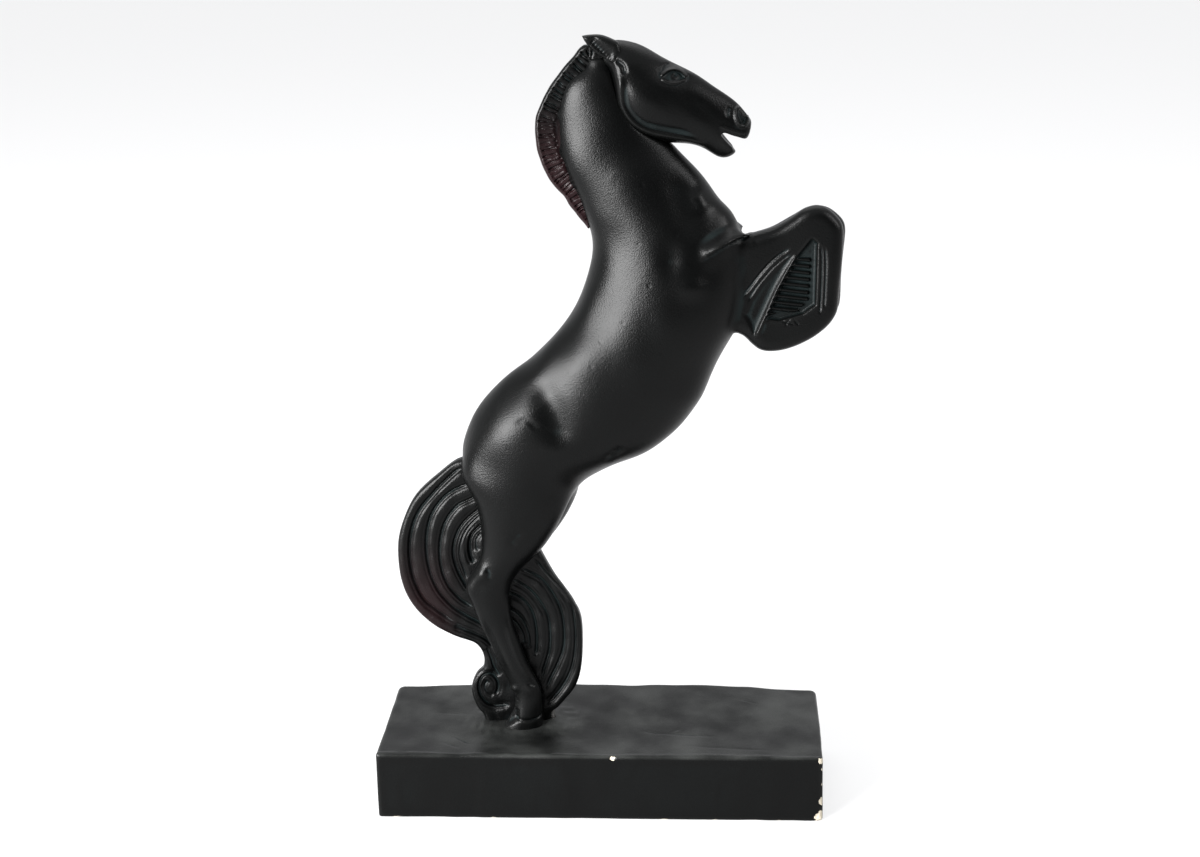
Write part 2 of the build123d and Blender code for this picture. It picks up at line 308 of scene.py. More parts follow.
def mesh_from(name, points, faces):
    """A Blender mesh from arrays, with vertices in millimetres."""
    mesh = bpy.data.meshes.new(name)
    mesh.vertices.add(len(points))
    mesh.vertices.foreach_set("co", (points * MM).astype(np.float32).ravel())
    size = faces.shape[1]
    mesh.loops.add(faces.size)
    mesh.loops.foreach_set("vertex_index", faces.astype(np.int32).ravel())
    mesh.polygons.add(len(faces))
    mesh.polygons.foreach_set("loop_start", np.arange(0, faces.size, size, dtype=np.int32))
    mesh.update(calc_edges=True)
    return mesh


def trim(mesh, cuts):
    """Cuts a mesh by planes, keeping what lies behind each, and closes it flat."""
    bm = bmesh.new()
    bm.from_mesh(mesh)
    for point, normal in cuts:
        everything = bm.verts[:] + bm.edges[:] + bm.faces[:]
        cut = bmesh.ops.bisect_plane(bm, geom=everything, dist=1e-7, plane_co=[v * MM for v in point],
                                     plane_no=normal, clear_outer=True)
        rim = [e for e in cut["geom_cut"] if isinstance(e, bmesh.types.BMEdge)]
        lid = bmesh.ops.triangle_fill(bm, use_beauty=True, use_dissolve=False, edges=rim, normal=normal)
        for item in lid["geom"]:
            if isinstance(item, bmesh.types.BMFace):
                item.smooth = False
                item.material_index = 0
    bm.to_mesh(mesh)
    bm.free()


def shade(mesh, field, grid):
    """Smooth normals straight from the field, with flat lids where the piece was cut."""
    count = len(mesh.vertices)
    flat = np.empty(count * 3, np.float32)
    mesh.vertices.foreach_get("co", flat)
    points = flat.reshape(-1, 3).astype(float) / MM
    normal = slope(field, grid, points)
    normal /= np.maximum(np.linalg.norm(normal, axis=1), 1e-6)[:, None]
    loop_vertex = np.empty(len(mesh.loops), np.int32)
    mesh.loops.foreach_get("vertex_index", loop_vertex)
    starts = np.empty(len(mesh.polygons), np.int32)
    sizes = np.empty(len(mesh.polygons), np.int32)
    smooth = np.empty(len(mesh.polygons), bool)
    face_normal = np.empty(len(mesh.polygons) * 3, np.float32)
    mesh.polygons.foreach_get("loop_start", starts)
    mesh.polygons.foreach_get("loop_total", sizes)
    mesh.polygons.foreach_get("use_smooth", smooth)
    mesh.polygons.foreach_get("normal", face_normal)
    owner = np.repeat(np.arange(len(mesh.polygons)), sizes)
    per_loop = np.where(smooth[owner][:, None], normal[loop_vertex], face_normal.reshape(-1, 3)[owner])
    mesh.normals_split_custom_set(per_loop.tolist())
    return points


HOLLOW_SCALE = 1.6


def piece(name, field, grid, nodes, material, cuts=(), marks=()):
    """Turns a field into the closed mesh that stands for some CAD nodes."""
    points, quads = contour(field, grid)
    points, quads = largest_part(points, quads)
    points = settle(points, quads, field, grid)
    mesh = mesh_from(name, points, quads)
    mesh.polygons.foreach_set("use_smooth", np.ones(len(mesh.polygons), bool))
    if cuts:
        trim(mesh, cuts)
    points = shade(mesh, field, grid)
    soft = blur(field, HOLLOW_SCALE, grid.step)
    hollow = mesh.attributes.new("hollow", "FLOAT", "POINT")
    hollow.data.foreach_set("value", (-sample(soft, grid, points)).astype(np.float32))
    for label, values in marks:
        mark = mesh.attributes.new(label, "FLOAT", "POINT")
        mark.data.foreach_set("value", values(points).astype(np.float32))
    mesh.materials.append(material)
    made = bpy.data.objects.new(name, mesh)
    bpy.context.scene.collection.objects.link(made)
    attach(made, "root")
    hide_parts(*nodes)
    return made


# ---------------------------------------------------------------- materials

def add_node(tree, kind, **sockets):
    """A shader node with plain values or links on its named inputs."""
    node = tree.nodes.new(kind)
    for label, value in sockets.items():
        socket = node.inputs[label.replace("_", " ")]
        if isinstance(value, bpy.types.NodeSocket):
            tree.links.new(value, socket)
        else:
            socket.default_value = value
    return node


def mix_colour(tree, share, first, second):
    node = tree.nodes.new("ShaderNodeMix")
    node.data_type = "RGBA"
    for socket, value in ((node.inputs[0], share), (node.inputs[6], first), (node.inputs[7], second)):
        if isinstance(value, bpy.types.NodeSocket):
            tree.links.new(value, socket)
        else:
            socket.default_value = value
    return node.outputs[2]


def mix_value(tree, share, first, second):
    node = tree.nodes.new("ShaderNodeMix")
    for socket, value in ((node.inputs[0], share), (node.inputs[2], first), (node.inputs[3], second)):
        if isinstance(value, bpy.types.NodeSocket):
            tree.links.new(value, socket)
        else:
            socket.default_value = value
    return node.outputs[0]


def band(tree, value, low, high):
    """0 below low, 1 above high."""
    node = tree.nodes.new("ShaderNodeMapRange")
    node.interpolation_type = "SMOOTHSTEP"
    tree.links.new(value, node.inputs["Value"])
    node.inputs["From Min"].default_value = low
    node.inputs["From Max"].default_value = high
    return node.outputs["Result"]


def product(tree, first, second):
    node = tree.nodes.new("ShaderNodeMath")
    node.operation = "MULTIPLY"
    for socket, value in zip(node.inputs, (first, second)):
        if isinstance(value, bpy.types.NodeSocket):
            tree.links.new(value, socket)
        else:
            socket.default_value = value
    return node.outputs[0]


def attribute(tree, name):
    node = tree.nodes.new("ShaderNodeAttribute")
    node.attribute_name = name
    return node.outputs["Fac"]


def new_material(name):
    material = bpy.data.materials.new(name)
    material.use_nodes = True
    tree = material.node_tree
    surface = tree.nodes["Principled BSDF"]
    place = tree.nodes.new("ShaderNodeTexCoord").outputs["Object"]
    return material, tree, surface, place


BLACK = (0.0007, 0.0008, 0.0008, 1)
VERDIGRIS = (0.006, 0.011, 0.0115, 1)
OXBLOOD = (0.0095, 0.0040, 0.0045, 1)
PLASTER = (0.40, 0.36, 0.29, 1)
# Grey for dust and rubbed wear, and also for the painted sheen that lightens the plinth's top face.
DUST_AND_SHEEN = (0.022, 0.023, 0.022, 1)


def patina(name, marks=False):
    """Black satin paint over cream plaster, with blue-green left in the hollows."""
    material, tree, surface, place = new_material(name)
    blotch = add_node(tree, "ShaderNodeTexNoise", Vector=place, Scale=38.0, Detail=3.0).outputs["Fac"]
    grain = add_node(tree, "ShaderNodeTexNoise", Vector=place, Scale=1500.0, Detail=2.0).outputs["Fac"]
    pores = add_node(tree, "ShaderNodeTexNoise", Vector=place, Scale=1150.0, Detail=1.0).outputs["Fac"]
    hollow = attribute(tree, "hollow")
    haze = product(tree, band(tree, hollow, 0.03, 0.22), band(tree, blotch, 0.30, 0.62))
    colour = mix_colour(tree, product(tree, haze, 0.45), BLACK, VERDIGRIS)
    worn = band(tree, hollow, -0.16, -0.45)
    colour = mix_colour(tree, product(tree, worn, 0.05), colour, DUST_AND_SHEEN)
    rough = mix_value(tree, blotch, 0.26, 0.36)
    rough = mix_value(tree, product(tree, haze, 0.8), rough, 0.55)
    if marks:
        red = attribute(tree, "red")
        colour = mix_colour(tree, product(tree, red, 0.8), colour, OXBLOOD)
        # Grey blotches over the plinth's top face: partly dust streaks, partly a painted sheen standing in
        # for the top's reflection of the bright room.
        top_dust_and_sheen = product(tree, attribute(tree, "top_dust_and_sheen"), band(tree, blotch, 0.25, 0.75))
        colour = mix_colour(tree, product(tree, top_dust_and_sheen, 0.9), colour, DUST_AND_SHEEN)
        ragged = add_node(tree, "ShaderNodeTexNoise", Vector=place, Scale=900.0, Detail=2.0).outputs["Fac"]
        chip = band(tree, mix_value(tree, 0.45, attribute(tree, "chip"), ragged), 0.44, 0.50)
        colour = mix_colour(tree, chip, colour, PLASTER)
        rough = mix_value(tree, chip, rough, 0.9)
    tree.links.new(colour, surface.inputs["Base Color"])
    tree.links.new(rough, surface.inputs["Roughness"])
    surface.inputs["IOR"].default_value = 1.21
    fine = add_node(tree, "ShaderNodeBump", Height=grain, Strength=0.55, Distance=0.0002)
    both = add_node(tree, "ShaderNodeBump", Height=pores, Strength=0.16, Distance=0.0003,
                    Normal=fine.outputs["Normal"])
    tree.links.new(both.outputs["Normal"], surface.inputs["Normal"])
    return material


def plain(name, colour, roughness, metallic, scale):
    """One finish with slight procedural unevenness, for the parts inside and underneath."""
    material, tree, surface, place = new_material(name)
    noise = add_node(tree, "ShaderNodeTexNoise", Vector=place, Scale=scale, Detail=3.0).outputs["Fac"]
    darker = tuple(0.7 * c for c in colour[:3]) + (1,)
    tree.links.new(mix_colour(tree, noise, darker, colour), surface.inputs["Base Color"])
    tree.links.new(mix_value(tree, noise, roughness - 0.08, roughness + 0.08), surface.inputs["Roughness"])
    surface.inputs["Metallic"].default_value = metallic
    bump = add_node(tree, "ShaderNodeBump", Height=noise, Strength=0.2, Distance=0.0002)
    tree.links.new(bump.outputs["Normal"], surface.inputs["Normal"])
    return material


black = patina("black_patina")
black_marked = patina("black_patina_worn", marks=True)
steel = plain("armature_steel", (0.32, 0.31, 0.30, 1), 0.45, 1.0, 240.0)
zinc = plain("zinc_plate", (0.62, 0.62, 0.60, 1), 0.35, 1.0, 400.0)
raw = plain("raw_plaster", PLASTER, 0.9, 0.0, 300.0)
for label, finish in (("washers", zinc), ("nuts", zinc), ("pocket_plugs", raw),
                      *((rod, steel) for rod in RODS)):
    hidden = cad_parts[label].data
    hidden.materials.clear()
    hidden.materials.append(finish)


# ---------------------------------------------------------------- castings

def seam(first, second):
    """A plane through two side-view points, square to the middle plane: a point on it and its normal."""
    run, rise = second[0] - first[0], second[1] - first[1]
    length = math.hypot(run, rise)
    return (first[0], 0.0, first[1]), (rise / length, 0.0, -run / length)


HAUNCH_SEAM = seam((-70.0, 186.0), (-11.5, 170.6))
CHEST_SEAM = seam((71.5, 250.0), (76.5, 301.0))
MIDDLE = ((0.0, 0.0, 0.0), (0.0, 1.0, 0.0))


def flipped(plane):
    return plane[0], tuple(-v for v in plane[1])


BODY = Grid((-112, -33, 30), (128, 33, 404), 1.0 * COARSE)
CASTINGS = ("trunk", "right_hind_leg", "left_hind_leg")
BODY_CLOSING = 4.0


def body_field():
    """Trunk and hind legs in one, with the steps at the haunch seam smoothed away."""
    field = blur(closed_union(CASTINGS + RODS, BODY, BODY_CLOSING, 8.0), 1.2, BODY.step)
    point, normal = HAUNCH_SEAM
    off = (BODY.x - point[0]) * normal[0] + (BODY.z - point[2]) * normal[2]
    share = np.exp(-(off / 13.0) ** 2)
    return field + (blur(field, 4.5, BODY.step) - field) * share


body = body_field()


def node_field(names, grid, reach=6.0, closing=0.0):
    """The field of some CAD nodes on a grid."""
    if closing:
        return closed_union(names, grid, closing, reach)
    return distance_field(*node_mesh(names), grid, reach)


def bores(field, grid, names):
    """Keeps the castings clear of the rods and pins that run through them."""
    return np.maximum(field, -node_field(names, grid, 3.0))


def body_relief(grid):
    """Muscles of the trunk and haunch: positive cuts in, negative stands out."""
    x, z = side_of(grid)
    relief = groove(((-31, 234), (-23, 221), (-18.5, 208), (-18.5, 194)), x, z, 7.5, 2.2, 0.3)
    relief -= 1.8 * swell((-42, 208), (15, 14), 45, x, z)
    relief += groove(((-41, 209), (-34.5, 211.5), (-27, 206.5)), x, z, 1.6, 0.35, 0.3)
    relief += groove(((15, 197), (10, 193), (4, 187)), x, z, 2.2, 0.6, 0.3)
    relief -= groove(((49, 327), (53, 320), (56, 313)), x, z, 3.8, 1.2, 0.4)
    relief += groove(((35, 338), (42, 322), (48, 306), (50, 298)), x, z, 6.5, 1.0, 0.35)
    relief -= 1.3 * swell((48.5, 279), (7, 5), 0, x, z) + 0.8 * swell((36, 262), (9, 12), 0, x, z)
    relief += 1.1 * swell((38, 293), (5, 8), 0, x, z) + 0.5 * swell((57, 284), (5, 6), 0, x, z)
    ledge, _, above = along(
        smooth_path(((57.0, 294.5), (61.0, 297.0), (66, 299.4), (72, 301.2), (90, 304))), x, z)
    spread = swell((65, 302), (9.5, 9.5), 25, x, z) * ramp(80 - x, 0, 8)
    step = np.where(above > 0, 6.6 * ramp(8.5 - ledge, 0, 8.5), 2.0 * ramp(12.0 - ledge, 0, 12.0))
    relief -= step * spread ** 0.7
    relief += 0.5 * np.exp(-(ledge / 0.8) ** 2) * spread
    relief += nicks(x, z)
    sides = ramp(np.abs(grid.y), 3, 13)
    return (relief[:, None, :] * sides - fullness(x, z)[:, None, :]
            - 0.22 * wander(grid.x, grid.y, grid.z, 26, 3))


def fullness(x, z):
    """How much fuller the body is than the solids along its belly, throat and thigh."""
    total = 0
    for centre, radii, angle, height in FULLNESS:
        total = total + height * swell(centre, radii, angle, x, z)
    return total


def nicks(x, z):
    """Small scratches and pits on the flanks."""
    total = 0
    for start, end, deep in NICKS:
        total = total + groove((start, end), x, z, 0.5, 0.55 * deep, 0.3)
    return total


def with_forelegs(field, grid):
    """Adds the two folded forelegs, which lie side by side with a furrow between them."""
    x, z = side_of(grid)
    near = inside(smooth_path(FORELEG_OUTLINE, 5), x + 1.1 * ramp(x, 85, 110), z + 1.9)[:, None, :]
    far = inside(smooth_path(FORELEG_OUTLINE, 5),
                 x - 0.5 * ramp(x, 95, 118), z + 1.5 + 2.1 * ramp(z, 270, 300))[:, None, :]
    outline = near + (far - near) * ramp(grid.y, -2, 2)
    bars = np.abs(np.abs(grid.y) - 6.0) - 6.1
    return smooth_min(field, smooth_max(outline - 0.7, bars, 6.5), 3.0)


def make_trunk():
    grid = Grid((-76, -32, 165), (82, 32, 393), 0.7 * COARSE)
    field = with_forelegs(resample(body, BODY, grid), grid) + body_relief(grid)
    field = np.maximum(field, -(node_field(("head",), grid) + 0.4))
    field = bores(field, grid, RODS)
    return piece("trunk_casting", field, grid, ("trunk",), black,
                 cuts=(HAUNCH_SEAM, CHEST_SEAM))


FULLNESS = (
    ((0, 179), (13, 9), 25, 1.8), ((21, 190), (14, 9), 20, 1.5), ((41, 205), (12, 10), 45, 0.8),
    ((55, 230), (14, 10), 65, 1.7), ((54, 326), (17, 11), -52, 1.4), ((66.5, 311.5), (6, 7), 0, 1.4),
    ((-21, 152), (22, 9), 61, 1.4), ((-69, 189), (8, 9), 0, 1.0), ((-12, 266), (20, 10), 55, 1.3),
)
NICKS = (
    ((27, 281), (28.2, 279.5), 0.5), ((14, 262), (14.8, 261), 0.5), ((-2, 240), (-0.5, 239.2), 0.4),
    ((3, 252), (3.6, 251), 0.5), ((22, 301), (22.6, 299.5), 0.5), ((-38, 214), (-37.6, 213.4), 0.6),
    ((33, 247), (34.4, 246.6), 0.4), ((40, 303), (42, 306), 0.4), ((8, 228), (9, 228.4), 0.4),
    ((24, 330), (25, 327), 0.5), ((-14, 236), (-13.2, 235.5), 0.5), ((46, 250), (47.5, 249), 0.35),
)
FORELEG_OUTLINE = (
    (60, 292), (75.5, 302), (79.8, 303.5), (89.2, 306.5), (98.2, 311.5), (103.7, 315.1), (107.7, 316.6),
    (111.5, 317.0), (115.5, 315.8), (119.2, 313), (122.2, 309.5), (123.3, 306), (123.3, 301),
    (122.6, 290), (122, 279), (121.6, 268), (120.6, 263.5), (117.8, 259), (113.6, 254.9), (108.2, 250.9),
    (101.7, 247.6), (95, 245.6), (88.2, 245), (83, 245.9), (79.2, 248.6), (75.2, 252.4), (71.5, 254.2),
    (60, 258),
)
FAR_EAR_DROP = 2.6
EAR_OUTLINE = (
    (-4.4, 399.4), (-1, 399.9), (4.5, 399.9), (9.5, 398.2), (13.5, 395.6), (14.5, 390), (12.5, 385.4),
    (8, 387.4), (3.5, 390.2), (-0.5, 393.8), (-3.2, 397.0),
)
MANE_CREST = (
    (-3, 304.8), (-10.6, 314.5), (-14.5, 320.5), (-20, 327), (-24.4, 335), (-27, 343.5), (-28, 352),
    (-27.8, 359), (-26, 364), (-23, 370), (-18.5, 377), (-13, 384), (-8.5, 389), (-5.5, 392.6),
    (-2, 394.4), (3, 394),
)
MANE_ROOT = ((8, 390), (2, 378), (-4, 366), (-8, 350), (-5, 334), (2, 314))
TAIL_OUTLINE = smooth_path((
    (-30, 31), (-27.5, 42), (-24.2, 45.3), (-20, 50.2), (-14.4, 58), (-11.4, 68.8), (-10.5, 83.8),
    (-11.1, 95.7), (-14.3, 103.9), (-19.6, 112.5), (-25.6, 121.4), (-36.5, 142), (-52, 165), (-60, 180),
    (-70.6, 183.2), (-82.7, 174.8), (-94.7, 163.4), (-101.6, 150), (-104.9, 137), (-104.6, 121),
    (-101.5, 109.2), (-95.6, 99.6), (-87, 91.7), (-77.1, 86.3), (-67.5, 82.8), (-63.7, 79.3), (-61.9, 75),
    (-61.6, 71), (-62.6, 67), (-66.2, 63.2), (-68.6, 57.3), (-68.4, 51.6), (-65.9, 44.6), (-62.8, 40.5),
    (-60.5, 31)), 5)
TAIL_GROOVES = (
    (((-68, 181), (-73.1, 178.3), (-79.2, 172.8), (-84.8, 167), (-93.3, 156.7), (-97.8, 146.4),
      (-99.7, 134.9),
      (-99.1, 123.4), (-96.7, 114.1), (-92.7, 106), (-87.3, 101.3), (-81, 96.5), (-76, 93.5)), 1.5, 0.9),
    (((-64, 172), (-70.2, 169.8), (-78.4, 165.3), (-85.8, 156.7), (-89.6, 146.5), (-90.7, 135),
      (-89.3, 122.3), (-85.3, 111.8), (-79.6, 104.3), (-73.2, 99), (-65.6, 94.6), (-58, 90)), 1.4, 0.85),
    (((-60, 166), (-66.7, 162.5), (-73.3, 159), (-78.9, 152.2), (-82.2, 144.2), (-83.7, 133.8),
      (-82.7, 122.3), (-79.2, 113.6), (-73.4, 106.6), (-66, 102)), 1.3, 0.85),
    (((-58, 160), (-64.7, 155.1), (-71.2, 148.8), (-74.9, 141.9), (-76.6, 133.9), (-75.5, 125.8),
      (-71.7, 116.5), (-68, 111)), 1.3, 0.8),
    (((-60, 155), (-65.5, 150), (-70, 144.2), (-72.6, 137.3), (-73.2, 130.4), (-71.3, 123.5),
      (-69.5, 117.5)), 0.9, 0.6),
    (((-60, 149), (-62.8, 147.1), (-66.8, 142.5), (-68.1, 136.2), (-67.5, 130.5), (-65.7, 127)), 1.5, 0.9),
    (((-61.5, 144), (-64, 140.5), (-64.4, 137.5), (-63.8, 133.9)), 0.8, 0.6),
    (((-78, 92), (-70, 88.8), (-62, 85), (-57, 80)), 1.0, 0.8),
    (((-36, 131), (-32.5, 127.7), (-26.7, 120.2), (-19.3, 111), (-15, 102.9), (-13.6, 92.3), (-13.6, 80.6),
      (-15.6, 68.7), (-19.6, 59.6), (-25.2, 51.6), (-30, 47)), 1.2, 0.8),
    (((-43, 125), (-37.5, 122.5), (-30, 117.9), (-24.7, 109.8), (-20.9, 100.5), (-19.5, 89.9),
      (-20.1, 79.3), (-23.4, 69.8), (-27.4, 61.5), (-30, 55)), 1.3, 0.85),
    (((-47, 118.5), (-43.1, 116.7), (-36.7, 112.1), (-31.4, 105.1), (-27.8, 96.9), (-26.9, 86.4),
      (-27.7, 76.9), (-30.6, 67.4), (-32, 61)), 1.3, 0.85),
    (((-50, 111), (-45.5, 109.7), (-40.1, 106.2), (-35.9, 99.2), (-34.3, 91), (-34.1, 82.8),
      (-34.9, 74.5)), 1.4, 0.8),
    (((-50, 102), (-46.3, 100.3), (-42.5, 96.9), (-39.4, 91), (-37.9, 83.9), (-38.6, 79.2)), 0.9, 0.6),
    (((-49, 96), (-45.3, 94.5), (-42.7, 91), (-40.8, 86.3), (-40.5, 81.6)), 0.8, 0.6),
    (((-49, 45.6), (-51.1, 46.5), (-58.3, 45.9), (-63.7, 50), (-65.7, 56.6), (-63.9, 62.6), (-59.4, 64.6),
      (-55.6, 60.6), (-55.6, 54.9), (-58, 51.8)), 1.5, 0.8),
    (((-60.6, 61), (-62.4, 57.4), (-60.8, 53.6), (-57.6, 52.2)), 0.7, 0.5),
    (((-60.6, 80), (-58.4, 74), (-57, 68.5), (-54, 63)), 0.8, 0.8),
)
PLINTH_TOP = 35.5
LEFT_LEG_ADVANCE = 3.5


def make_hind_leg(side, name, advance):
    grid = Grid((-76, -28, 31), (-6, 28, 190), 0.5 * COARSE)
    field = resample(body, BODY, grid)
    x, z = side_of(grid)
    x = x - advance
    relief = groove(((-61.5, 101), (-56.5, 88), (-51.2, 75), (-46.2, 63)), x, z, 1.7, 0.6, 0.3)
    relief -= (2.1 * swell((-61.0, 125.6), (4.2, 3.5), 60, x, z)
               + 0.5 * swell((-64.5, 121.5), (2.6, 3.0), 0, x, z))
    relief += groove(((-58.0, 130.0), (-56.4, 126.5), (-57.6, 122.5)), x, z, 1.3, 0.5, 0.3)
    relief += groove(((-61.4, 131.6), (-64.4, 129.2), (-66.0, 126.2)), x, z, 1.1, 0.4, 0.3)
    relief += groove(((-37, 152), (-42, 147), (-45, 141)), x, z, 2.4, 0.5, 0.35)
    relief -= groove(((-48.5, 103), (-46.3, 89), (-41.3, 74), (-36.5, 64)), x, z, 1.9, 0.9, 0.25)
    relief -= (1.0 * swell((-46.0, 59.6), (2.2, 1.9), 30, x, z)
               + 0.6 * swell((-37.5, 60.5), (3.0, 3.6), 0, x, z))
    relief += groove(((-48.5, 56.6), (-46.2, 55.6), (-43.6, 52.8)), x, z, 0.8, 0.9, 0.25)
    relief += groove(((-39.0, 63.4), (-36.6, 62.8), (-34.0, 61.4)), x, z, 0.5, 0.45, 0.3)
    relief += groove(((-45.9, 43.6), (-42.1, 42.6), (-37.6, 42.5), (-33.0, 43.6), (-30.5, 45.5)),
                     x, z, 0.7, 0.9, 0.1)
    heel = inside(np.array(((-46.5, 49.9), (-42.9, 48.2), (-42.5, 41.8), (-53.5, 35.6))), x, z)
    relief += 1.7 * ramp(-heel, -0.3, 2.6)
    facing = ramp(np.abs(grid.y), 6, 11)
    hock = 1.4 * swell((-68.0, 117.5), (4.5, 5.5), 0, x, z)
    field = field + relief[:, None, :] * facing - hock[:, None, :] + body_relief(grid)
    field = np.maximum(field, -(node_field(("tail",), grid) + 0.5))
    field = bores(field, grid, RODS)
    cuts = (flipped(HAUNCH_SEAM), MIDDLE if side < 0 else flipped(MIDDLE))
    return piece(name + "_casting", field, grid, (name,), black, cuts=cuts)


RECESS = np.array((
    (107.2, 301.0), (110.4, 298.5), (109.9, 267.0), (103.6, 262.2), (91.5, 258.6), (84.6, 259.8),
    (90.8, 275.5), (98.6, 290.0),
))
LADDER = np.array((
    (99.3, 290.5), (107.0, 291.5), (106.8, 281.5), (106.0, 269.5), (101.0, 263.6), (84.8, 261.6),
    (91.2, 276.0),
))
RUNG_PITCH = 3.3


def make_foreleg(side, name):
    grid = Grid((64, -17, 238), (128, 17, 320), 0.4 * COARSE)
    field = with_forelegs(resample(body, BODY, grid), grid) + body_relief(grid)
    x, z = side_of(grid)
    deep = inside(RECESS, x, z)
    relief = 2.4 * ramp(-deep, -0.4, 1.6)
    rungs = inside(LADDER, x, z)
    wave = 0.5 + 0.5 * np.cos(2 * math.pi * (z + 0.12 * (x - 100)) / RUNG_PITCH)
    relief -= 2.2 * wave ** 1.4 * ramp(-rungs, -0.2, 0.9)
    relief -= groove(((100.4, 293), (91.0, 276.3), (84.6, 261.5), (79.6, 250.0)), x, z, 0.9, 1.3, 0.08)
    relief += groove(((97.5, 296.5), (88.8, 290.5), (81.6, 282.5), (76.8, 276), (72.3, 271)),
                     x, z, 0.8, 1.0, 0.15)
    relief += groove(((98.5, 294.0), (90.5, 288.2), (83.4, 280.4), (78.8, 274), (75.4, 268)),
                     x, z, 0.7, 0.7, 0.15)
    facet = inside(np.array((
        (99.5, 294), (91, 288), (83, 279.5), (77, 270), (74, 262), (79.6, 250), (84.6, 261.5), (91, 276),
    )), x, z)
    relief += 0.9 * ramp(-facet, -0.5, 3.0)
    relief += groove(((111.6, 298), (112.3, 290), (112.2, 275), (111.6, 262)), x, z, 0.55, 0.9, 0.12)
    relief += groove(((113.6, 297), (114.3, 289), (114.2, 276), (113.8, 265)), x, z, 0.5, 0.7, 0.12)
    for start, end in (((92.0, 259.2), (99.5, 257.4)), ((94.5, 256.4), (97.2, 260.6)),
                       ((99.0, 259.8), (101.5, 257.0))):
        relief += groove((start, end), x, z, 0.35, 0.45, 0.3)
    facing = ramp(np.abs(grid.y), 4, 8)
    field = field + relief[:, None, :] * facing
    field = bores(field, grid, ("right_foreleg_dowel", "left_foreleg_dowel"))
    cuts = (flipped(CHEST_SEAM), MIDDLE if side < 0 else flipped(MIDDLE))
    return piece(name + "_casting", field, grid, (name,), black, cuts=cuts)


def make_head():
    grid = Grid((-4, -17, 334), (80, 17, 402), 0.4 * COARSE)
    field = blur(node_field(("head", "spine_rod", "ear_pins"), grid, 6.0, 1.2), 0.7, grid.step)
    x, z = side_of(grid)
    jaw = ((13.6, 383), (14.0, 377), (14.0, 371), (14.6, 366), (17.3, 360.6), (21.3, 356.4),
           (28, 352.8), (38, 350.6), (48, 348.4), (57, 345.0))
    relief = -groove(jaw, x, z, 1.9, 1.5, 0.12)
    inner = ((16.8, 380), (16.8, 371), (18.0, 365.5), (21.0, 361.2), (25.6, 357.6), (32.8, 355.4),
             (42, 353.4), (52, 350))
    relief += groove(inner, x, z, 1.9, 0.8, 0.2)
    relief -= 0.8 * swell((24, 368), (10, 9), 30, x, z)
    relief += 0.7 * swell((50, 366), (9, 5), -38, x, z)
    relief -= groove(((36, 386.0), (44, 383.4), (51, 378.5)), x, z, 1.8, 0.7, 0.3)
    relief += 1.5 * swell((39.8, 380.0), (7.0, 3.4), -8, x, z)
    relief -= 1.5 * swell((40.2, 380.0), (2.5, 2.1), 0, x, z)
    relief -= groove(((33.2, 379.9), (36.6, 382.4), (40.4, 383.1), (43.8, 381.6), (46.6, 378.8)),
                     x, z, 0.7, 1.6, 0.12)
    relief -= groove(((33.2, 379.6), (36.8, 377.5), (40.8, 376.9), (46.6, 378.6)), x, z, 0.65, 1.2, 0.15)
    relief += groove(((33.5, 383.4), (37, 385.2), (41, 385.8), (45, 383.6)), x, z, 0.7, 0.4, 0.25)
    relief += 1.0 * swell((40.5, 380.2), (0.75, 0.75), 0, x, z)
    nostril = smooth_path((
        (69.8, 363.0), (72.4, 365.2), (75.2, 363.2), (76.0, 359.0), (74.4, 355.6), (71.8, 355.8),
        (70.0, 359.2), (69.8, 363.0),
    ), 6)
    ring, _, _ = along(nostril, x, z)
    relief -= 1.2 * np.exp(-(ring / 0.8) ** 2)
    relief += 2.2 * ramp(-inside(nostril[:-1], x, z), 0.3, 1.5)
    relief += groove(((67.2, 364.5), (65.8, 362.0), (66.6, 359.4)), x, z, 0.9, 0.7, 0.3)
    relief -= groove(((61.5, 355.6), (69.0, 352.9), (76.6, 350.4)), x, z, 0.9, 0.6, 0.2)
    relief -= groove(((62.4, 350.6), (66.5, 347.0), (69.8, 343.2)), x, z, 0.8, 0.5, 0.2)
    relief += groove(((11.5, 388.0), (15.5, 385.5), (16.5, 381.0)), x, z, 1.1, 1.2, 0.25)
    facing = ramp(np.abs(grid.y), 1.5, 5)
    muzzle = 1.4 * swell((77.5, 353), (4, 7), 0, x, z)
    field = field + relief[:, None, :] * facing - muzzle[:, None, :]
    field = field + 0.08 * wander(grid.x, grid.y, grid.z, 12, 21)
    field = bores(field, grid, ("spine_rod",))
    return piece("head_casting", field, grid, ("head",), black_marked)


